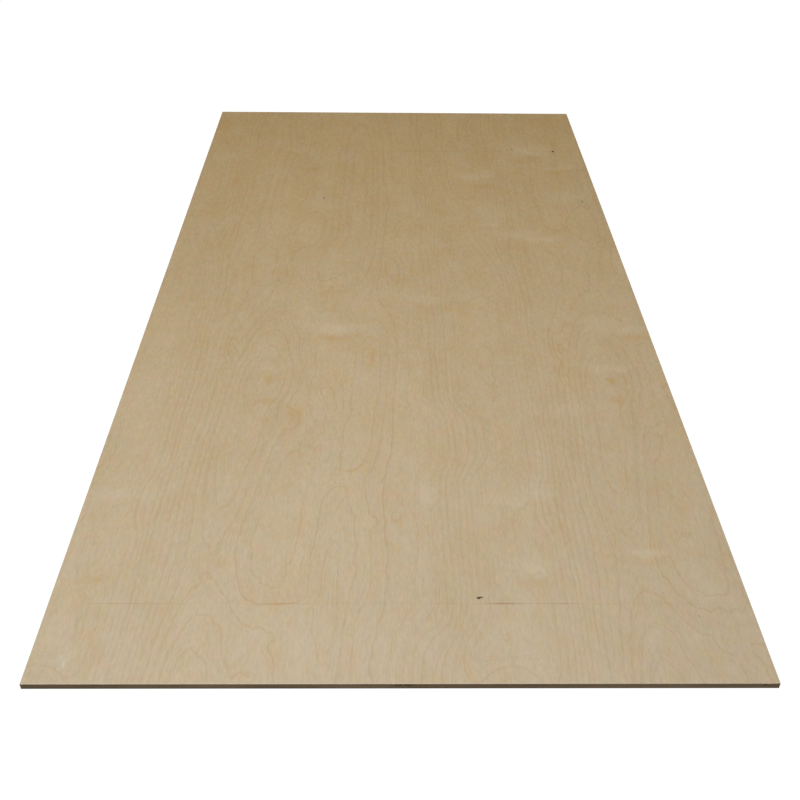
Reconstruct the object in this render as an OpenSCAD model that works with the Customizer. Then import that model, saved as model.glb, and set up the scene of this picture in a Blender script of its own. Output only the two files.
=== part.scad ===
// Plywood sheet, 4 by 8 feet and half an inch nominal, lying flat with its good face up.
// Its veneers are glued and pressed into one board, so the sheet is one solid.
// Millimetres. The origin is the middle of the underside, +Z is up through the thickness,
// +Y runs along the length and the face grain, and +X runs across the grain.

/* [Sheet] */
// Width of the sheet, across the face grain
sheet_width = 1220; // [610:5:1830]
// Length of the sheet, along the face grain
sheet_length = 2440; // [1220:5:3660]
// Thickness of the sanded sheet
sheet_thickness = 12; // [9:0.5:30]

/* [Plies over and at the gaps] */
// Thickness of the face veneer, which runs unbroken over every gap
face_veneer = 0.6; // [0.3:0.1:1.5]
// Thickness of the cross-grain ply under the face veneer, unbroken too
crossband = 1.9; // [1:0.1:3]
// Thickness of the lengthwise inner ply under that, whose strips don't quite meet
inner_ply = 2.4; // [1:0.1:4]

/* [Core gaps in the near end] */
// How far every gap runs in from the sawn end
gap_depth = 8; // [2:1:40]
// Width of the left half of the split gap near the middle of the end
split_left_width = 11; // [4:1:30]
// Width of the right half of the split gap
split_right_width = 13; // [4:1:30]
// Wood left standing between the two halves
split_web = 4; // [1:0.5:15]
// Distance of the middle of that wood from the sheet's centre line, plus to the right
split_offset = 2; // [-200:1:200]
// Width of the small gap near the right-hand corner
corner_gap_width = 6; // [3:1:30]
// Distance of the small gap from the right-hand edge
corner_gap_inset = 20; // [5:1:100]

/* [Hidden] */
near_end = -sheet_length / 2;
right_edge = sheet_width / 2;
gap_top = sheet_thickness - face_veneer - crossband;
// Each cutter starts outside the end, so that it opens the end cleanly
cutter_lead = 1;

// The sawn and sanded board, square on all its edges
module board() {
    translate([-sheet_width / 2, near_end, 0])
        cube([sheet_width, sheet_length, sheet_thickness]);
}

// One gap in the upper inner ply, open at the near end, from its left side at x
module core_gap(x, width) {
    translate([x, near_end - cutter_lead, gap_top - inner_ply])
        cube([width, cutter_lead + gap_depth, inner_ply]);
}

// The gap near the middle of the end, with a sliver of wood between its halves
module split_gap() {
    core_gap(split_offset - split_web / 2 - split_left_width, split_left_width);
    core_gap(split_offset + split_web / 2, split_right_width);
}

// The small gap close to the right-hand corner
module corner_gap() {
    core_gap(right_edge - corner_gap_inset - corner_gap_width, corner_gap_width);
}

module plywood_sheet() {
    color([0.75, 0.67, 0.55])
        difference() {
            board();
            split_gap();
            corner_gap();
        }
}

plywood_sheet();
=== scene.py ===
# %% [markdown]
# # A sheet of plywood, veneer by veneer
#
# The sheet lies on the floor with its good face up. Everything that makes it plywood and not a
# plain board is thin: a veneer peeled from a log like paper from a roll, and the edges of the
# plies under it. This lesson peels that veneer with numpy, gives each ply its own edge, and
# finishes them with node materials that are written as arithmetic.

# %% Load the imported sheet
import math

import bpy
import numpy as np
from mathutils import Matrix, Vector


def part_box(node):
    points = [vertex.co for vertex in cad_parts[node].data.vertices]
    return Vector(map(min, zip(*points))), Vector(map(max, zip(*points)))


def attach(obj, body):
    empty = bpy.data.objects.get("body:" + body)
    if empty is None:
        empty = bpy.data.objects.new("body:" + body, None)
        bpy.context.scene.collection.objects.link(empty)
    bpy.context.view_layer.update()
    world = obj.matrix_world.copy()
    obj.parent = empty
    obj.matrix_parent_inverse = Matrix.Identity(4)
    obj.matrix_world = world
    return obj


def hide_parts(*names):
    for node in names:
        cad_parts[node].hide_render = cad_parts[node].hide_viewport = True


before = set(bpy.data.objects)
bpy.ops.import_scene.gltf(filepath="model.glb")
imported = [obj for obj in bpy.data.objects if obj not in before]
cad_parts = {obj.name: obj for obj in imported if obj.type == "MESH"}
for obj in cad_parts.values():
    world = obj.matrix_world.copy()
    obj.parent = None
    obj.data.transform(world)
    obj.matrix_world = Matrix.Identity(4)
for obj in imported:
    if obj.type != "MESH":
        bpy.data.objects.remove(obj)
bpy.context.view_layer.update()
low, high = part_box("plywood_sheet")
LEFT, NEAR, UNDER = low
RIGHT, FAR, TOP = high
WIDTH, LENGTH = RIGHT - LEFT, FAR - NEAR
MM = 0.001
print("sheet", round(WIDTH, 3), "x", round(LENGTH, 3), "x", round(TOP - UNDER, 4), "m")

# %% [markdown]
# ## Camera
#
# A person stands at one end of the sheet and looks down along it. The camera is placed first, so
# that every later step can be judged from where the sheet is seen. It could be aimed with a
# Track To constraint, but three plain turns say more: roll about its own axis, tilt down from
# the horizon, and a small turn to the side.

# %% Place the camera
EYE = (-0.025, -2.222, 1.342)
# Degrees
TURN_RIGHT, LOOK_DOWN, ROLL = 0.93, 37.15, 0.71
# Millimetres
SENSOR_WIDTH, LENS = 36, 45


def turn(degrees, axis):
    """Rotation matrix about one axis, from an angle in degrees."""
    return Matrix.Rotation(math.radians(degrees), 4, axis)


camera = bpy.data.objects.new("camera", bpy.data.cameras.new("camera"))
bpy.context.scene.collection.objects.link(camera)
camera.data.sensor_width = SENSOR_WIDTH
camera.data.lens = LENS
aim = turn(-TURN_RIGHT, "Z") @ turn(90 - LOOK_DOWN, "X") @ turn(ROLL, "Z")
camera.matrix_world = Matrix.Translation(EYE) @ aim
bpy.context.scene.camera = camera
print("camera", [round(v, 3) for v in camera.matrix_world.translation])

# %% [markdown]
# ## From arrays to a mesh
#
# Every piece below is worked out as whole numpy arrays: points, faces, and the numbers that a
# material reads at each point. One function hands them to Blender. `from_pydata` is quick enough
# for a hundred thousand faces, and `foreach_set` copies each attribute in one go.

# %% Mesh helper
# Degrees between two faces past which the line between them is shaded as a sharp edge
SHARP = 40


def make_piece(name, points, faces, attributes, corner_uv=None):
    """A mesh object from an array of points and lists of point numbers, one list per face.
    attributes holds one number per point under each name; corner_uv one (u, v) per corner."""
    mesh = bpy.data.meshes.new(name)
    mesh.from_pydata(points.tolist(), [], faces)
    for key, values in attributes.items():
        slot = mesh.attributes.new(key, "FLOAT", "POINT")
        slot.data.foreach_set("value", np.asarray(values, np.float32).ravel())
    if corner_uv is not None:
        layer = mesh.uv_layers.new(name="OFBake")
        layer.data.foreach_set("uv", np.asarray(corner_uv, np.float32).ravel())
    mesh.polygons.foreach_set("use_smooth", np.ones(len(mesh.polygons), bool))
    mesh.set_sharp_from_angle(angle=math.radians(SHARP))
    mesh.validate()
    piece = bpy.data.objects.new(name, mesh)
    bpy.context.scene.collection.objects.link(piece)
    print(name, len(mesh.vertices), "points", len(mesh.polygons), "faces")
    return piece


def grid_faces(across, along, flip=False):
    """Quads of a grid whose points are numbered row by row: each face joins a point with its
    neighbours to the right, diagonally and above, counter-clockwise unless flipped."""
    start = np.arange(along - 1)[:, None] * across + np.arange(across - 1)[None, :]
    quads = np.stack([start, start + 1, start + 1 + across, start + across], -1).reshape(-1, 4)
    return quads[:, ::-1] if flip else quads


# %% [markdown]
# ## The log behind the veneer
#
# Rotary-cut veneer is peeled from a turning log in one long ribbon. Its figure is therefore a map:
# where the knife cuts through a growth ring there is a line, and the line closes, forks or runs
# straight as the ring swells under the bark. The ribbon passes the same side of the log once
# every turn, so the figure comes back at a distance equal to the log's girth.
#
# Figure could be drawn line by line, or faked with a distorted wave. A height map of the rings is
# truer and shorter: one number says which ring the knife is in at a point, and a line lies
# wherever that number passes a whole number. A log that is round on most of its girth and
# hollow down one side gives the long flanks, and swellings on it give the noses, loops and eyes.

# %% Ring height over the sheet
GIRTH = 775 * MM
# Where across the sheet the middle of the round side lies
ROUND_SIDE = -185 * MM
# Rings that the flute cuts away, how sharply it starts, and how far round the log
FLUTE, FLUTE_EDGE, FLUTE_START = 4.6, 3.4, 0.78
# Rings: of the crook to each side, for each metre along, for each turn, and at the start
CROOK, TAPER, PEEL, FIRST_RING = 1.6, -0.6, 0.3, 0.25
# How far the fibres wander across the sheet, and the uneven growth, broad and fine, in rings
WANDER = 5 * MM
BROAD_GROWTH, FINE_GROWTH = 0.15, 0.12
# Standing waves in each sum of them
WAVES = 60

# Middle across, middle along, reach across, reach along (mm), height (rings), lean
SWELLINGS = [
    # The ridge in the middle, with a long nose at each end
    (-68, -430, 34, 260, 2.7, 0.08),
    (-128, -1020, 30, 235, 1.8, 0),
    (-125, -1050, 14, 140, 0.6, 0),
    (-112, -728, 34, 17, -0.45, 0),
    (-90, -640, 14, 45, 0.2, 0),
    (-70, -920, 24, 115, 0.9, 0),
    (-48, -850, 9, 12, 0.7, 0),
    (-5, -835, 7, 10, 0.8, 0),
    # The ridge on the left: a nest of noses above, a cathedral below
    (-330, -526, 52, 330, 5.0, 0.08),
    (-354, -1547, 60, 470, 6.4, 0),
    (-210, -1090, 50, 40, 0.9, 0),
    (-232, -1250, 34, 110, 2.0, 0),
    (-395, -245, 10, 48, 1.5, 0),
    (-400, -365, 7, 26, 1.0, 0),
    # The eye and the buds about it
    (-285, -390, 42, 62, 1.6, 0),
    (-150, -215, 36, 22, 1.4, 0),
    (-225, -535, 14, 30, 1.0, 0),
    (-75, -290, 18, 40, 0.8, 0),
    (-150, -470, 22, 60, -1.2, -0.3),
    # The flank to the right of the middle
    (130, -600, 60, 90, 2.6, 0),
    (80, -1250, 62, 120, -4.4, 0),
    (172, -1290, 42, 100, 4.4, 0),
    # The flute
    (-548, -900, 20, 90, 2.2, 0),
    (-500, -800, 20, 60, 1.2, 0),
    (-245, -840, 34, 163, -0.9, 0),
    # The far half
    (-10, 95, 13, 74, 1.3, 0),
    (-110, 650, 44, 480, 3.6, 0),
    (-185, 140, 34, 110, 1.6, 0.1),
    (-300, 800, 42, 400, 2.4, 0.08),
    (-320, 1300, 50, 260, 1.8, 0),
    (-235, 330, 28, 90, -1.2, 0),
    (-545, 330, 40, 160, 2.6, -0.25),
    (-440, 780, 26, 70, 1.4, 0),
    (60, 520, 50, 110, 1.8, 0),
    (-520, 1050, 40, 100, 1.6, 0),
    (-365, 120, 24, 90, 1.5, 0),
    (170, 60, 34, 80, 1.6, 0.1),
    (200, -170, 26, 60, 1.3, 0),
]

# Middle across, middle along, reach (mm) of places where the ring lines are drawn strongly.
# Each is longer along the sheet than across it, by ACCENT_STRETCH
ACCENT_STRETCH = 1.6
ACCENTS = [
    (-91, -690, 45),
    (-30, -640, 45),
    (-395, -245, 50),
    (-268, -215, 40),
    (377, -240, 45),
    (373, -370, 30),
    (-500, -820, 50),
    (-245, -990, 60),
    (-250, -1115, 50),
    (-60, -815, 40),
    (-228, -520, 35),
    (270, -830, 40),
    (230, -860, 40),
    (530, -1030, 60),
    (170, -600, 60),
    (170, -1180, 50),
    (-75, -300, 30),
    (-20, 90, 50),
    (-350, -1150, 50),
]
print(len(SWELLINGS), "swellings,", len(ACCENTS), "strong places")


# %% The log as a height map of its rings
def round_log(x, side):
    """Distance round the log from a side of it, as it lies on the ribbon, in metres."""
    return (x - side + GIRTH / 2) % GIRTH - GIRTH / 2


def log_waves(x, y, seed, lobes, shortest):
    """Sum of standing waves that close round the log: each is a cosine across times a cosine
    along, with a whole number of lobes round the log up to lobes, a random length along it from
    shortest to four times that, and less height the more lobes it has."""
    rng = np.random.default_rng(seed)
    total = np.zeros(np.broadcast(x, y).shape)
    for _ in range(WAVES):
        lobe = rng.integers(1, lobes + 1)
        wavelength = shortest * (1 + 3 * rng.random())
        start, lift = rng.random(2) * 2 * np.pi
        wave = np.cos(2 * np.pi * lobe * x / GIRTH + start)
        total += lobe**-0.4 * wave * np.cos(2 * np.pi * y / wavelength + lift)
    return total / math.sqrt(WAVES)


def ring_height(x, y):
    """Which growth ring the knife is in. A fluted log is round on most of its girth and falls
    away on one side, which is a tanh of a cosine; its crook is one more cosine. The taper and
    the slow peel are ramps, and each swelling is a ridge: a Gaussian across it, and along it
    the exponential of a fourth power, which keeps level and then drops. Growth is uneven, and
    the fibres themselves wander a few mm to each side, which bends every line."""
    x = x + WANDER * log_waves(x, y, seed=9, lobes=14, shortest=0.16)
    side = np.cos(2 * np.pi * (x - ROUND_SIDE) / GIRTH)
    rings = FIRST_RING + FLUTE * np.tanh(FLUTE_EDGE * (side + FLUTE_START)) + CROOK * side
    rings = rings + TAPER * y - PEEL * x / GIRTH
    for middle, along, reach, length, rise, lean in SWELLINGS:
        ahead = y - along * MM
        across = round_log(x - lean * ahead, middle * MM) / (reach * MM)
        rings = rings + rise * np.exp(-(across**2 + (ahead / (length * MM)) ** 4) / 2)
    rings = rings + BROAD_GROWTH * log_waves(x, y, seed=3, lobes=9, shortest=0.3)
    return rings + FINE_GROWTH * log_waves(x, y, seed=5, lobes=30, shortest=0.08)


def accent_at(x, y):
    """Strength of the ring lines, from 0 to 1: the highest of the Gaussian spots about."""
    strongest = np.zeros(np.broadcast(x, y).shape)
    for middle, along, reach in ACCENTS:
        away = np.hypot(x / MM - middle, (y / MM - along) / ACCENT_STRETCH) / reach
        strongest = np.maximum(strongest, np.exp(-(away**2)))
    return strongest


# %% [markdown]
# ## Silk
#
# Around a hidden bud the fibres tip out of the sheet, and light slides off them: a pale crescent
# on one side, a warm one on the other. A true fibre shader would make it from the light, but an
# exported model would lose that. So it is painted into the colour, from a list of places, as one
# more number at each point of the mesh: each pale crescent is painted sheen, each warm one painted
# shade.

# %% Silky crescents of painted sheen and painted shade
# How far the ends of a crescent turn up, as a share of its reach along the sheet
BEND = 0.4
# How much faster than a plain Gaussian it falls off on its crisp side and on its soft side
CRISP_SIDE, SOFT_SIDE = 1.7, 0.9
# Middle across, middle along, reach across, reach along (mm), paleness as painted sheen; a minus is
# warm painted shade
SHEEN_AND_SHADE = [
    (-145, -186, 52, 17, 1.0),
    (-150, -222, 26, 10, -0.9),
    (500, -150, 50, 18, 0.5),
    (555, -185, 46, 16, 0.8),
    (575, -215, 22, 9, -0.7),
    (505, -228, 7, 16, -0.4),
    (460, -355, 16, 14, 0.9),
    (508, -352, 18, 12, 0.9),
    (484, -392, 8, 9, -1.4),
    (486, -467, 11, 9, -0.9),
    (-291, -350, 40, 18, 0.4),
    (-290, -392, 9, 13, -0.9),
    (-290, -469, 22, 8, -0.7),
    (-222, -522, 14, 28, -0.7),
    (-285, -540, 13, 14, -0.4),
    (-222, -746, 10, 10, -0.5),
    (-325, -957, 16, 8, -0.4),
    (-540, -996, 20, 8, -0.6),
    (452, -934, 26, 6, 1.1),
    (450, -953, 22, 7, -0.5),
    (245, -972, 28, 20, 0.6),
    (240, -1003, 16, 7, -0.6),
    (550, -590, 11, 6, -0.8),
    (490, -560, 10, 6, -0.5),
    (545, -812, 8, 14, -0.5),
    (118, -982, 32, 6, -0.35),
    (0, -850, 6, 13, -0.6),
    (160, -850, 8, 30, 0.5),
    (378, -330, 6, 16, -0.6),
    (200, -325, 12, 7, -0.5),
    (100, 112, 14, 16, -0.35),
    (372, 125, 7, 34, -0.35),
    (-395, 128, 6, 24, -0.6),
    (-155, -60, 6, 30, -0.5),
    (-60, -300, 7, 20, -0.6),
    (-30, 112, 6, 24, -0.4),
    (430, 900, 50, 30, 0.5),
    (440, 868, 46, 18, 0.8),
    (409, 814, 20, 12, -0.8),
    (240, 682, 30, 18, 0.7),
    (290, 690, 14, 30, 0.6),
    (262, 626, 26, 12, -0.8),
    (560, 770, 40, 18, 0.5),
    (510, 752, 34, 8, 0.8),
    (503, 718, 16, 16, -0.9),
    (-275, 740, 26, 14, -0.7),
    (-497, 655, 11, 14, -0.8),
    (330, 302, 40, 14, 0.6),
    (405, 275, 38, 14, 0.8),
    (290, 400, 26, 40, 0.5),
    (262, 362, 26, 8, 0.8),
    (525, 550, 40, 18, 0.5),
    (490, 520, 40, 14, 0.6),
    (-320, 888, 34, 16, 0.5),
    (145, 440, 24, 14, -0.4),
    (560, 1140, 60, 60, -0.5),
    (-580, 1130, 26, 70, -0.5),
    (90, -45, 60, 16, 0.5),
    (100, -85, 50, 20, -0.25),
    (340, -510, 60, 20, 0.5),
    (-530, -780, 60, 14, 0.5),
    (-552, -1172, 10, 18, 0.45),
    (55, -785, 14, 22, 0.5),
    (225, -800, 24, 16, 0.6),
    (275, -775, 30, 12, 0.5),
]


def sheen_and_shade_at(x, y):
    """Sum of Gaussian patches, pale ones of painted sheen positive and warm ones of painted shade
    negative. Each is bent along a parabola, so that its ends turn up toward the far end, and falls
    off more steeply on one side: a pale one on its near side and a warm one on its far side, where
    the two meet."""
    total = np.zeros(np.broadcast(x, y).shape)
    for middle, along, reach, length, paleness in SHEEN_AND_SHADE:
        across = (x / MM - middle) / reach
        bend = BEND * length * across**2
        ahead = (y / MM - along - bend) / length
        ahead = ahead * np.where(ahead * paleness < 0, CRISP_SIDE, SOFT_SIDE)
        total = total + paleness * np.exp(-(across**2 + ahead**2) / 2)
    return total


# %% [markdown]
# ## The face veneer
#
# The real face is 0.6 mm of maple-pale birch, sanded flat, with its arris just broken by the
# sandpaper. It could be a scaled cube with a Bevel, but then there would be no points to carry
# the rings. A grid is better: evenly spaced over the field, and drawn together where something
# small happens, at the arris and at the pin knots.

# %% Grid lines that crowd where detail is
FACE_VENEER = 0.6 * MM
# Distances in from the edge, and how far the face has dropped at each
ARRIS = [0.0, 0.12 * MM, 0.35 * MM]
ARRIS_DROP = [0.25 * MM, 0.08 * MM, 0.0]

# Pin knots: across, along, reach across, reach along (mm)
KNOTS = [(136, -1039, 3.6, 2.8), (141, -1037.5, 3.6, 1.4), (518, 888, 4.2, 6.5)]
KNOT_DEPTH = 0.35 * MM
# Stretches of the grid that hold a knot
KNOT_COLUMNS = [(129 * MM, 148 * MM), (510 * MM, 526 * MM)]
KNOT_ROWS = [(-1048 * MM, -1030 * MM), (876 * MM, 900 * MM)]


def spaced(start, stop, step):
    """Evenly spaced values from start to stop, as near to step apart as fits."""
    return np.linspace(start, stop, max(2, round((stop - start) / step) + 1))


def crowd(start, stop, step, crowded, fine):
    """Grid lines from start to stop: the arris lines at both ends, fine steps inside each
    (from, to) range of crowded, and wider steps between them."""
    lines = [start + a for a in ARRIS] + [stop - a for a in ARRIS]
    at = start + ARRIS[-1]
    for begin, end in [*crowded, (stop - ARRIS[-1], stop)]:
        lines.extend(spaced(at, begin, step))
        if end < stop:
            lines.extend(spaced(begin, end, fine))
        at = end
    return np.unique(np.round(lines, 7))


columns = crowd(LEFT, RIGHT, step=4.2 * MM, crowded=KNOT_COLUMNS, fine=1.1 * MM)
rows = crowd(NEAR, FAR, step=9.2 * MM, crowded=KNOT_ROWS, fine=1.3 * MM)
print("face grid", len(columns), "x", len(rows))

# %% Shape of a veneer
# Shares of the unit square: the frame round the grid, and the size and place of the cap's speck
UV_FRAME, CAP_SIZE, CAP_PLACE = 0.002, 0.0005, 0.0006


def edge_drop(lines):
    """How far the arris falls at each grid line: nothing inside, ARRIS_DROP at both ends."""
    drop = np.zeros(len(lines))
    drop[: len(ARRIS_DROP)] = ARRIS_DROP
    drop[-len(ARRIS_DROP) :] = ARRIS_DROP[::-1]
    return drop


def knot_pit(x, y, rx, ry):
    """Depth from 0 to 1 of a pin knot at offsets x, y (mm) from its middle: one over one plus
    the sixth power of the distance, measured in its own reaches, which makes a flat-bottomed
    ellipse with a soft rim, half as deep at eight tenths of its reach."""
    return 1 / (1 + (np.hypot(x / rx, y / ry) / 0.8) ** 6)


def sheet_uv(points, quads, cap, on_grid):
    """Places in the unit square, one for each corner of the faces: the first on_grid points lie
    as they do on the sheet, inside a thin frame that the walls fill, and the hidden cap is
    shrunk to a speck in one corner of that frame."""
    flat = (points[:, :2] - [LEFT, NEAR]) / [WIDTH, LENGTH]
    flat = UV_FRAME + flat * (1 - 2 * UV_FRAME)
    flat[on_grid:] = np.clip((flat[on_grid:] - 0.5) * (1 + 2 * UV_FRAME) + 0.5, 0, 1)
    cap_uv = (flat[cap] - 0.5) * CAP_SIZE + CAP_PLACE
    return np.concatenate([flat[quads].reshape(-1, 2), cap_uv])


def veneer(name, columns, rows, outer, inner, relief, attributes):
    """A thin closed sheet: a grid of points at height outer minus the arris drop and the
    relief, a wall round its border down to inner, and one flat face to close it. outer may be
    above or below inner, and every face points outwards either way."""
    x, y = np.meshgrid(columns, rows)
    facing = 1 if outer > inner else -1
    sink = np.maximum(edge_drop(columns)[None, :], edge_drop(rows)[:, None]) + relief
    outer_points = np.stack([x, y, outer - facing * sink], -1).reshape(-1, 3)
    wide, long = len(columns), len(rows)
    number = np.arange(wide * long).reshape(long, wide)
    border = np.concatenate(
        [number[0, :-1], number[:-1, -1], number[-1, :0:-1], number[:0:-1, 0]]
    )
    inner_points = outer_points[border].copy()
    inner_points[:, 2] = inner
    below = np.arange(len(border)) + wide * long
    after = np.roll(border, -1)
    walls = np.stack([border, below, np.roll(below, -1), after], -1)
    cap = below[::-1]
    if facing < 0:
        walls, cap = walls[:, ::-1], cap[::-1]
    quads = np.concatenate([grid_faces(wide, long, facing < 0), walls])
    points = np.concatenate([outer_points, inner_points])
    given = {k: np.concatenate([v.ravel(), v.ravel()[border]]) for k, v in attributes.items()}
    uv = sheet_uv(points, quads, cap, wide * long)
    return make_piece(name, points, quads.tolist() + [cap.tolist()], given, uv)


# %% The face itself
x, y = np.meshgrid(columns, rows)
rings = ring_height(x, y)
rise_along, rise_across = np.gradient(rings, rows, columns)
knots = sum(knot_pit(x / MM - kx, y / MM - ky, rx, ry) for kx, ky, rx, ry in KNOTS)
relief = KNOT_DEPTH * knots
face = veneer(
    "face_veneer",
    columns,
    rows,
    TOP,
    TOP - FACE_VENEER,
    relief,
    {
        "ring": rings,
        "slope": np.hypot(rise_across, rise_along) * MM,
        "sheen_and_shade": sheen_and_shade_at(x, y),
        "accent": accent_at(x, y),
        "knot": knots,
    },
)
print("rings from", round(rings.min(), 1), "to", round(rings.max(), 1))

# %% [markdown]
# ## Shader maths as arithmetic
#
# A node tree is a formula drawn as boxes. Written as boxes in Python it takes five lines for one
# plus sign, so one small class wraps an output socket and gives it the usual operators. Any
# other node comes from a single method.

# %% Wires
class Wire:
    """An output socket that adds, subtracts, multiplies and divides by making Math nodes."""

    def __init__(self, finish, socket):
        self.finish = finish
        self.socket = socket

    def math(self, operation, *others, swap=False):
        """A Math node of this wire and the others, or in the opposite order."""
        values = [self, *others]
        if swap:
            values = values[::-1]
        return self.finish.node("ShaderNodeMath", {"operation": operation}, dict(enumerate(values)))

    def __add__(self, other):
        return self.math("ADD", other)

    def __sub__(self, other):
        return self.math("SUBTRACT", other)

    def __mul__(self, other):
        return self.math("MULTIPLY", other)

    def __truediv__(self, other):
        return self.math("DIVIDE", other)

    def __rsub__(self, other):
        return self.math("SUBTRACT", other, swap=True)

    def __rtruediv__(self, other):
        return self.math("DIVIDE", other, swap=True)

    __radd__ = __add__
    __rmul__ = __mul__

    def clamp(self):
        """The same number, but no less than 0 and no more than 1."""
        return self.math("MAXIMUM", 0).math("MINIMUM", 1)


# %% Finishes
class Finish:
    """A material with one Principled shader, whose other nodes come from node()."""

    def __init__(self, name):
        self.material = bpy.data.materials.new(name)
        self.material.use_nodes = True
        self.tree = self.material.node_tree
        self.shader = self.tree.nodes["Principled BSDF"]
        self.place = self.node("ShaderNodeTexCoord", {}, {}, "Object")

    def node(self, kind, settings, inputs, output=0):
        """Adds a node: its settings first, then values or wires by socket name or number."""
        node = self.tree.nodes.new(kind)
        for key, value in settings.items():
            setattr(node, key, value)
        for key, value in inputs.items():
            self.feed(node.inputs[key], value)
        return Wire(self, node.outputs[output])

    def feed(self, socket, value):
        """Links a wire to a socket, or sets the socket to a plain value."""
        if isinstance(value, Wire):
            self.tree.links.new(value.socket, socket)
        else:
            socket.default_value = value

    def attribute(self, name):
        """The number stored at each point of the mesh under that name."""
        return self.node("ShaderNodeAttribute", {"attribute_name": name}, {}, "Fac")

    def noise(self, per_metre, detail, seed):
        """Soft noise from 0 to 1 with so many grains per metre along each axis. Each seed reads
        it from another place."""
        shift = (seed * 7.3, seed * 3.1, seed * 5.7)
        stretched = self.node(
            "ShaderNodeMapping",
            {"vector_type": "POINT"},
            {"Vector": self.place, "Location": shift, "Scale": per_metre},
        )
        return self.node(
            "ShaderNodeTexNoise",
            {"noise_dimensions": "3D"},
            {"Vector": stretched, "Scale": 1.0, "Detail": detail},
            "Fac",
        )

    def layers(self, *coordinates):
        """Soft noise from 0 to 1 laid out along three numbers of one's own."""
        where = self.node("ShaderNodeCombineXYZ", {}, dict(enumerate(coordinates)))
        return self.node("ShaderNodeTexNoise", {}, {"Vector": where, "Scale": 1.0}, "Fac")

    def mix(self, amount, first, second, blend="MIX"):
        """Two colours blended; amount, from 0 to 1, is a number or a wire."""
        return self.node(
            "ShaderNodeMix",
            {"data_type": "RGBA", "blend_type": blend},
            {0: amount, 6: first, 7: second},
            2,
        )

    def vector(self, operation, first, second=(0, 0, 0), output="Vector"):
        """A Vector Math node of two vectors, or of one for its length."""
        inputs = {0: first} if operation == "LENGTH" else {0: first, 1: second}
        return self.node("ShaderNodeVectorMath", {"operation": operation}, inputs, output)

    def axis(self, name):
        """The place along X, Y or Z, in metres."""
        return self.node("ShaderNodeSeparateXYZ", {}, {"Vector": self.place}, name)

    def combine(self, red, green, blue):
        """A colour from three numbers."""
        return self.node("ShaderNodeCombineColor", {}, {0: red, 1: green, 2: blue})

    def lot(self, number):
        """A random number from 0 to 1 that stays the same around each whole number."""
        whole = number.math("ROUND")
        return self.node(
            "ShaderNodeTexWhiteNoise", {"noise_dimensions": "1D"}, {"W": whole}, "Value"
        )

    def bump(self, height, distance):
        """Fine relief: a height of 1 stands for distance, in metres."""
        return self.node(
            "ShaderNodeBump", {}, {"Height": height, "Distance": distance, "Strength": 1.0}
        )

    def surface(self, **sockets):
        """Feeds the shader: underscores in a name stand for the spaces in the socket's name."""
        for key, value in sockets.items():
            self.feed(self.shader.inputs[key.replace("_", " ")], value)


def tint(red, green, blue):
    """A colour for a socket, with full alpha."""
    return (red, green, blue, 1.0)


# %% [markdown]
# ## Finish of the face
#
# Pale birch, sanded and bare. From far to near the eye finds a slow drift of tone, darker and
# warmer toward the far end as painted shade, the ring lines with one crisp side and one soft one,
# the silky crescents of painted sheen and painted shade, and the fibre itself as fine streaks along
# the sheet. Each is a mask from 0 to 1, and each mask pulls the colour a few per cent.

# %% Ring lines
# Rings per mm on the flattest ground, which keeps a line there from growing too wide
FLATTEST = 0.012
# Lines nearer to each other than CLOSEST mm aren't drawn, and they have their full strength
# FADE_IN mm further apart
CLOSEST, FADE_IN = 2.25, 2.5
SOFT_STRENGTH = 0.7


def ring_line(ring, slope, crisp, soft):
    """A mask for ring lines of the same width everywhere. The fraction of the ring number,
    divided by how many rings pass per mm, is the distance in mm from the last line. The mask
    falls from 1 over crisp mm on one side and, less strong, over soft mm on the other, and
    it fades where the lines come closer than a few mm."""
    past = ring.math("FRACT")
    steep = slope.math("MAXIMUM", FLATTEST)
    sharp_side = (1 - past / steep / crisp).clamp()
    soft_side = (1 - (1 - past) / steep / soft).clamp()
    apart = ((1 / steep - CLOSEST) / FADE_IN).clamp()
    return sharp_side.math("MAXIMUM", soft_side * soft_side * SOFT_STRENGTH) * apart


# %% [markdown]
# ## Small marks on the face
#
# A few dark specks and two pale scuffs lie on the face, and the press left faint straight lines
# across it, one near each end. They could be painted in an image, but a list of places is shorter
# and stays sharp at any distance. Each becomes a mask worked out from the place on the sheet.

# %% Flecks and press marks
DARK, PALE = tint(0.06, 0.035, 0.02), tint(0.86, 0.84, 0.80)

# Flecks and scuffs: across, along, reach across, reach along (mm), strength, colour
FLECKS = [
    (558, 519, 3, 10, 0.5, DARK),
    (-215, 536, 3, 8, 0.55, DARK),
    (383, 901, 4, 5, 0.6, DARK),
    (513, -1080, 1, 3, 0.6, DARK),
    (-363, -1012, 1, 2, 0.4, DARK),
    (-448, -940, 1.2, 2, 0.3, DARK),
    (-262, -705, 1.5, 4, 0.25, DARK),
    (-550, -1180, 2.2, 11, 0.26, PALE),
    (-556, -1170, 1.6, 7, 0.16, PALE),
]

# Press marks right across the sheet: along, width (mm), and how strong they are in stretches
# given by middle, reach (mm) and strength
PRESS_MARKS = [
    (-1052, 1.8, [(-460, 90, 0.45), (-185, 95, 0.6), (60, 80, 0.25), (230, 90, 0.8), (0, 560, 0.2)]),
    (-1052, 3.0, [(172, 45, 0.9)]),
    (886, 3.0, [(120, 150, 0.5), (430, 170, 0.5), (0, 600, 0.1)]),
]


def fleck(finish, ragged, x, y, reach_x, reach_y):
    """A mask for a small spot: 1 near x, y (mm), falling by one over each reach to a rim that
    the ragged noise, from 0 to 0.8, draws in and out."""
    offset = finish.vector("SUBTRACT", finish.place, (x * MM, y * MM, TOP))
    scaled = finish.vector("MULTIPLY", offset, (1 / (reach_x * MM), 1 / (reach_y * MM), 0))
    away = finish.vector("LENGTH", scaled, output="Value")
    return (1.6 - away - ragged).clamp()


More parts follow.
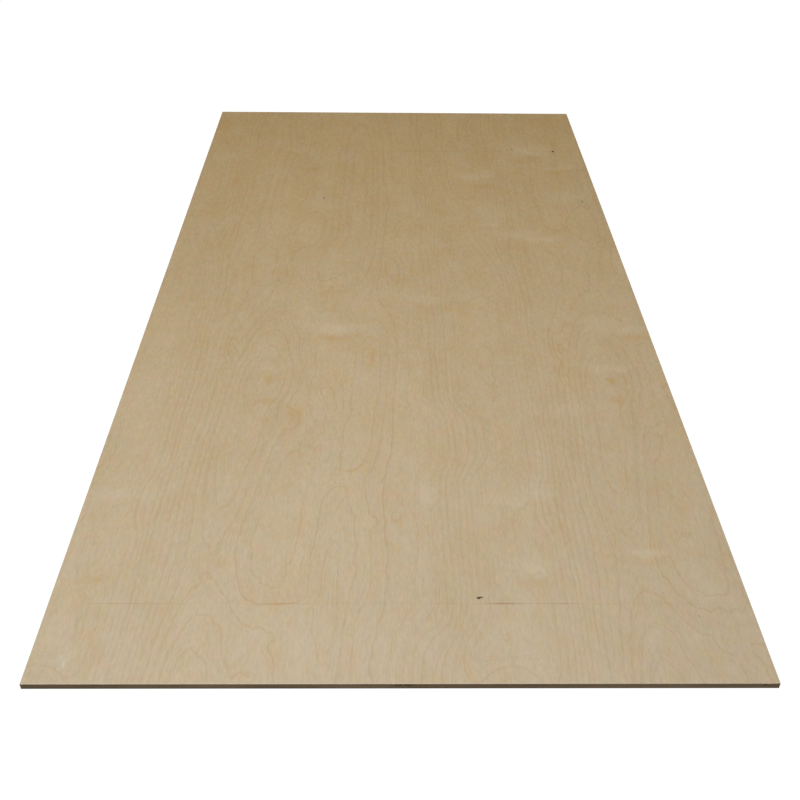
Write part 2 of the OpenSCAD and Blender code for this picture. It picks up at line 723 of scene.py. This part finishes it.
def press_mark(across, along, y, width, stretches):
    """A mask for a faint straight mark about width mm wide, the sum of its stretches. Each
    fades out over the last 33 mm of its reach."""
    line = (1 - (along - y * MM).math("ABSOLUTE") / (width * MM)).clamp()
    strength = 0.0
    for middle, reach, gain in stretches:
        inside = (reach * MM - (across - middle * MM).math("ABSOLUTE")) * 30
        strength = strength + inside.clamp() * gain
    return line * strength


# %% Face finish
# How far in from the edge the face is painted paler, as a painted highlight along the arris
ARRIS_HIGHLIGHT = 2.2 * MM


def birch_face(name, near_tone, shaded_far_tone, seed, press_marks, flecks):
    """Finish of a sanded birch veneer. Its tone runs evenly from one end to the other, darker and
    warmer at the far end as painted shade for the light that falls off there; then come the texture,
    the rings, the painted sheen and shade, the marks, the painted highlight on the arris and the
    knots, each laid over the last."""
    finish = Finish(name)
    # Noises, by grains per metre across, along and through the veneer
    fibre = finish.noise((430, 8, 1), detail=3, seed=seed)
    hair = finish.noise((1400, 60, 1), detail=2, seed=seed + 1)
    cloud = finish.noise((4, 1.6, 1), detail=2, seed=seed + 2)
    wander = finish.noise((60, 26, 1), detail=4, seed=seed + 3)
    vigour = finish.noise((13, 7, 1), detail=1, seed=seed + 4)
    mottle = finish.noise((60, 34, 1), detail=3, seed=seed + 5)
    blush = finish.noise((16, 8, 1), detail=2, seed=seed + 6)
    grain = finish.noise((300, 75, 1), detail=4, seed=seed + 7)
    yellow = finish.noise((75, 45, 1), detail=3, seed=seed + 8)
    rose = finish.noise((40, 20, 1), detail=3, seed=seed + 9)
    across = finish.axis("X")
    along = finish.axis("Y")

    # Lines of years, each with its own strength, and four fainter flushes of growth in each
    ring = finish.attribute("ring") + (wander - 0.5) * 0.5
    slope = finish.attribute("slope")
    sheen_and_shade = finish.attribute("sheen_and_shade")
    knot = finish.attribute("knot")
    accent = finish.attribute("accent")
    year = ring_line(ring, slope, 2.0, 8) * (finish.lot(ring) * 0.6 + 0.4)
    fine = ring * 4
    flush = ring_line(fine, slope * 4, 1.2, 3) * finish.lot(fine)
    strong = year * accent
    faint = year * (1 - accent) + flush * 0.8
    season = finish.layers(ring * 2.5, across * 9, along * 4)

    # Texture in lightness and, apart from it, in warmth; part of it grows toward the far end
    far_away = (along - NEAR) / LENGTH
    # Painted shade: the tone darkens and warms from the near end to the far end, for the light that
    # falls off there
    tone = finish.mix(far_away, near_tone, shaded_far_tone)
    even = (cloud - 0.5) * 0.08 + (fibre - 0.5) * 0.07 + (hair - 0.5) * 0.1 - (blush - 0.5) * 0.05
    uneven = (grain - 0.5) * 0.25 + (season - 0.5) * 0.08 + (mottle - 0.5) * 0.08
    shade = 1 + even + uneven * (1 + far_away * 0.8)
    warm = (blush - 0.5) * 0.26 + (yellow - 0.5) * 0.32 + (season - 0.5) * 0.08
    warm = (warm + (mottle - 0.5) * 0.24) * (1 + far_away * 0.5)
    pink = (rose - 0.5) * 0.10
    shades = finish.combine(shade - warm * 0.08 + pink, shade - warm * 0.33 - pink, shade - warm)
    tone = finish.mix(1.0, tone, shades, "MULTIPLY")
    tone = finish.mix(faint, tone, tint(0.915, 0.87, 0.81), "MULTIPLY")
    tone = finish.mix(strong, tone, tint(0.92, 0.78, 0.60), "MULTIPLY")

    # Painted sheen and painted shade of the silky crescents, broken up by the grain so that its rim
    # is wispy
    wisp = sheen_and_shade * (mottle * 1.2 + grain * 0.8)
    tone = finish.mix((wisp * 0.21).clamp(), tone, tint(0.83, 0.745, 0.63))
    tone = finish.mix((wisp * -0.46).clamp(), tone, tint(0.55, 0.335, 0.115))

    # Press marks, which take only here and there, and the flecks
    patchy = (hair * 2 - 0.3).clamp() * ((vigour - 0.2) * 2).clamp()
    for y, width, stretches in press_marks:
        mark = press_mark(across, along, y, width, stretches)
        tone = finish.mix((mark * patchy).clamp(), tone, tint(0.70, 0.48, 0.40), "MULTIPLY")
    ragged = mottle * 0.5 + hair * 0.3
    for x, y, reach_x, reach_y, strength, colour in flecks:
        spot = fleck(finish, ragged, x, y, reach_x, reach_y)
        tone = finish.mix(spot * strength, tone, colour)

    # The painted highlight along the arris, paler over its last 2 mm, and the knots
    to_side = WIDTH / 2 - across.math("ABSOLUTE")
    to_end = LENGTH / 2 - along.math("ABSOLUTE")
    arris = (1 - to_side.math("MINIMUM", to_end) / ARRIS_HIGHLIGHT).clamp()
    tone = finish.mix(arris * 0.4, tone, tint(0.74, 0.66, 0.54))
    tone = finish.mix((knot * 1.2).clamp(), tone, tint(0.03, 0.02, 0.012))

    height = fibre * 0.5 + hair * 0.3 + grain * 0.4 - strong * 0.3
    finish.surface(
        Base_Color=tone,
        Roughness=0.52 + (fibre - 0.5) * 0.2,
        Normal=finish.bump(height, 0.00012),
    )
    finish.shader.inputs["Specular IOR Level"].default_value = 0.35
    return finish.material


# The far tone is darker and warmer than the near one: painted shade for the light that falls off
# toward the far end
NEAR_TONE, FAR_SHADED_TONE = tint(0.60, 0.475, 0.33), tint(0.575, 0.432, 0.245)
face_finish = birch_face("sanded_birch_face", NEAR_TONE, FAR_SHADED_TONE, 1, PRESS_MARKS, FLECKS)
face.data.materials.append(face_finish)
print("face finish has", len(face_finish.node_tree.nodes), "nodes")

# %% [markdown]
# ## The plies under the face
#
# Below the face come a crossband, an inner ply, the core, and the same again the other way. On a
# sawn edge a ply shows long fibres or end grain, depending on which way its grain runs, so each
# has its own wall. Five scaled cubes would do for plain walls, but not for a gap. A profile
# carried along a path fits both: the path is the outline of the sheet, and it dips in where the
# strips of the upper inner ply don't meet and leave a gap.

# %% Ply stack
CROSSBAND = 1.9 * MM
INNER_PLY = 2.4 * MM
GAP_DEPTH = 8 * MM
# Left and right side of each gap in the near end, in mm from the middle of the sheet
GAPS = [(-11, 0), (4, 17), (584, 590)]
# Steps round the outline, along the sheet's edges and inside a gap
EDGE_STEP, GAP_STEP = 4 * MM, 2 * MM
# How deep the saw's scratches go, and on how many levels they are worked out
SCRATCH, LEVELS = 0.12 * MM, 5
# Two numbers nearer than this, in metres, are the same place
TOUCH = 1e-6

face_under = TOP - FACE_VENEER
back_top = UNDER + FACE_VENEER
# Name, bottom, top, whether its grain runs along the sheet
STACK = [
    ("crossband_lower", back_top, back_top + CROSSBAND, False),
    ("inner_ply_lower", back_top + CROSSBAND, back_top + CROSSBAND + INNER_PLY, True),
    ("core_ply", back_top + CROSSBAND + INNER_PLY, face_under - CROSSBAND - INNER_PLY, False),
    ("inner_ply_upper", face_under - CROSSBAND - INNER_PLY, face_under - CROSSBAND, True),
    ("crossband_upper", face_under - CROSSBAND, face_under, False),
]


# %% A ply with sawn edges
def leg(start, stop, step):
    """Points on a straight leg from corner to corner, without the last, about step apart. The
    leg runs along one axis."""
    start, stop = np.array(start), np.array(stop)
    least, most = np.minimum(start, stop), np.maximum(start, stop)
    count = len(spaced(0, (most - least).max(), step))
    points = np.linspace(least, most, count)
    return points[:-1] if (start <= stop).all() else points[:0:-1]


def outline(gaps):
    """Points round the sheet, counter-clockwise from the near left corner, with a square notch
    of GAP_DEPTH for each (left, right) gap in the near end."""
    path = []
    at = (LEFT, NEAR)
    for left, right in gaps:
        mouth, floor = NEAR, NEAR + GAP_DEPTH
        path.append(leg(at, (left * MM, mouth), EDGE_STEP))
        path.append(leg((left * MM, mouth), (left * MM, floor), GAP_STEP))
        path.append(leg((left * MM, floor), (right * MM, floor), GAP_STEP))
        path.append(leg((right * MM, floor), (right * MM, mouth), GAP_STEP))
        at = (right * MM, mouth)
    for corner in [(RIGHT, NEAR), (RIGHT, FAR), (LEFT, FAR), (LEFT, NEAR)]:
        path.append(leg(at, corner, EDGE_STEP))
        at = corner
    return np.concatenate(path)


def ply(name, bottom, top, lengthwise, seed):
    """A closed ply: levels of the outline from bottom to top, joined by walls, with a flat
    face below and above. The sawn wall steps in by a random part of SCRATCH at each point."""
    rng = np.random.default_rng(seed)
    path = outline(GAPS if name == "inner_ply_upper" else [])
    level = np.linspace(0, 1, LEVELS)
    around = len(path)
    points = np.repeat(path[None, :, :], len(level), 0)
    sawn = rng.random((len(level), around)) * SCRATCH
    sawn[0] = sawn[-1] = 0
    middle = np.array([(LEFT + RIGHT) / 2, (NEAR + FAR) / 2])
    on_side = np.minimum(path[:, 0] - LEFT, RIGHT - path[:, 0]) < TOUCH
    on_end = np.minimum(path[:, 1] - NEAR, FAR - path[:, 1]) < TOUCH
    inward = np.sign(middle - path) * np.stack([on_side, on_end], -1)
    points = points + sawn[:, :, None] * inward[None, :, :]
    height = np.broadcast_to(bottom + level[:, None] * (top - bottom), (len(level), around))
    points = np.concatenate([points, height[:, :, None]], -1).reshape(-1, 3)
    number = np.arange(len(level) * around).reshape(len(level), around)
    after = np.roll(number, -1, axis=1)
    walls = np.stack([number[:-1], after[:-1], after[1:], number[1:]], -1).reshape(-1, 4)
    faces = walls.tolist() + [number[0, ::-1].tolist(), number[-1].tolist()]
    end_grain = np.broadcast_to(on_end if lengthwise else on_side & ~on_end, number.shape)
    # Points on the walls of a gap, which the edge finish paints near black as painted shade
    inside = np.broadcast_to(~(on_end | on_side), number.shape)
    given = {
        "end_grain": end_grain.astype(float),
        "lift": np.broadcast_to(level[:, None], number.shape),
        "gap": inside.astype(float),
    }
    return make_piece(name, points, faces, given)


plies = [ply(*layer, seed) for seed, layer in enumerate(STACK, start=10)]

# %% [markdown]
# ## Finish of the edges
#
# The saw leaves the plies dark and rough beside the face. Long fibres show as streaks along the
# edge, end grain as fine pores, and the glue between plies as a thin dark line. Each ply could
# have a material of its own, but one that reads its grain and its height from the mesh serves
# all five.

# %% Edge finish
def sawn_edge(name, light, dark, seed):
    """Finish of the sawn plies, from light to dark with the fibres. The glue darkens the lowest
    and highest few hundredths of each ply, and the walls of a gap are painted near black, as painted
    shade for the dark inside it."""
    finish = Finish(name)
    end_grain = finish.attribute("end_grain")
    lift = finish.attribute("lift")
    long_fibres = finish.noise((40, 40, 2600), detail=3, seed=seed)
    pores = finish.noise((1800, 1800, 1200), detail=2, seed=seed + 1)
    patches = finish.noise((9, 9, 40), detail=2, seed=seed + 2)
    fibre = long_fibres * (1 - end_grain) + pores * end_grain
    glue = ((lift - 0.5).math("ABSOLUTE") * 12 - 5.2).clamp()
    shade = (fibre * 0.7 + patches * 1.2 - 0.5 + end_grain * 0.12).clamp()
    tone = finish.mix(shade, light, dark)
    tone = finish.mix(glue * 0.7, tone, tint(0.035, 0.02, 0.012))
    # Painted shade: the walls inside a gap are painted near black
    tone = finish.mix(finish.attribute("gap"), tone, tint(0.02, 0.013, 0.008))
    finish.surface(Base_Color=tone, Roughness=0.75, Normal=finish.bump(fibre, 0.0002))
    finish.shader.inputs["Specular IOR Level"].default_value = 0.2
    return finish.material


edge_finish = sawn_edge("sawn_ply_edge", tint(0.50, 0.345, 0.20), tint(0.25, 0.157, 0.085), 20)
for piece in plies:
    piece.data.materials.append(edge_finish)

# %% [markdown]
# ## The back veneer
#
# The back is the same kind of veneer in a lower grade, from another part of the log. It could be
# a copy of the face turned over, but two equal figures look false. The same functions give
# another one. Only its edge shows while the sheet lies on the floor, so a coarser grid is enough.

# %% Back veneer
back_columns = crowd(LEFT, RIGHT, step=12 * MM, crowded=[], fine=MM)
back_rows = crowd(NEAR, FAR, step=24 * MM, crowded=[], fine=MM)
bx, by = np.meshgrid(back_columns, back_rows)
# The mirrored face, read a quarter of a metre round the log and further up it
back_rings = ring_height(-bx + 0.25, by * 0.9 + 0.4)
back_along, back_across = np.gradient(back_rings, back_rows, back_columns)
back = veneer(
    "back_veneer",
    back_columns,
    back_rows,
    UNDER,
    UNDER + FACE_VENEER,
    np.zeros(bx.shape),
    {
        "ring": back_rings,
        "slope": np.hypot(back_across, back_along) * MM,
        "sheen_and_shade": sheen_and_shade_at(-bx, by + 0.3) * 0.5,
        "accent": accent_at(-bx, by + 0.3),
        "knot": np.zeros(bx.shape),
    },
)
# The back's far tone is darker as well: painted shade toward the far end
back_finish = birch_face("birch_back", tint(0.52, 0.39, 0.25), tint(0.44, 0.31, 0.18), 40, [], [])
back.data.materials.append(back_finish)
print("back grid", len(back_columns), "x", len(back_rows))

# %% [markdown]
# ## Seven pieces for one board
#
# In the imported part the board is one solid, as the glue makes it. Here seven pieces take its
# place and its body.

# %% Hand the pieces to the frame
pieces = [face, *plies, back]
for piece in pieces:
    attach(piece, "root")
    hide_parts("plywood_sheet")
print(len(pieces), "pieces take the place of the board")

# %% [markdown]
# ## Floor and light
#
# A plain pale floor, a broad cool light over the near end, as from a window, and a warmer one
# overhead that reaches the far end. The floor could be lit like the sheet, but then it would be
# grey. It glows by itself instead, and is hidden from the sheet, so that its glow stays off it.

# %% Floor
# Half the side of the floor, and its distance under the sheet, in metres
REACH, CLEARANCE = 40.0, 0.2 * MM
floor_mesh = bpy.data.meshes.new("floor")
corners = [(-REACH, -REACH), (REACH, -REACH), (REACH, REACH), (-REACH, REACH)]
floor_mesh.from_pydata([(*corner, UNDER) for corner in corners], [], [(0, 1, 2, 3)])
floor = bpy.data.objects.new("floor", floor_mesh)
bpy.context.scene.collection.objects.link(floor)
floor.location.z = -CLEARANCE
floor_finish = Finish("pale_floor")
floor_finish.surface(Base_Color=tint(0.12, 0.12, 0.12), Roughness=0.9)
floor_finish.shader.inputs["Emission Color"].default_value = tint(1.0, 1.0, 1.0)
floor_finish.shader.inputs["Emission Strength"].default_value = 0.95
floor.data.materials.append(floor_finish.material)
floor.visible_diffuse = False
floor.visible_glossy = False
print("floor", 2 * REACH, "m square")


# %% Lights
def area_light(name, place, look_at, size, power, colour):
    """A square soft light at place, turned toward look_at."""
    light = bpy.data.lights.new(name, "AREA")
    light.energy, light.color, light.size = power, colour, size
    lamp = bpy.data.objects.new(name, light)
    bpy.context.scene.collection.objects.link(lamp)
    lamp.location = place
    lamp.rotation_euler = (Vector(look_at) - Vector(place)).to_track_quat("-Z", "Y").to_euler()
    print(name, "light", power, "W")


COOL, WARM = (0.73, 0.85, 1.0), (1.0, 0.81, 0.43)
area_light("window", (-0.5, -1.7, 2.4), look_at=(0, -1.0, 0), size=1.6, power=40, colour=COOL)
area_light("ceiling", (-0.3, 0.5, 4.0), look_at=(0, 0.2, 0), size=4.0, power=74, colour=WARM)

# %% Room
# The room itself gives a little even light, and the camera sees it as plain white
AMBIENT = 0.2
room = bpy.data.worlds.new("room")
bpy.context.scene.world = room
room.use_nodes = True
dome = room.node_tree.nodes["Background"]
dome.inputs["Color"].default_value = tint(1.0, 1.0, 1.0)
seen = room.node_tree.nodes.new("ShaderNodeLightPath").outputs["Is Camera Ray"]
brighter = room.node_tree.nodes.new("ShaderNodeMath")
brighter.operation = "MAXIMUM"
brighter.inputs[1].default_value = AMBIENT
room.node_tree.links.new(seen, brighter.inputs[0])
room.node_tree.links.new(brighter.outputs[0], dome.inputs["Strength"])
bpy.context.scene.view_settings.view_transform = "Standard"
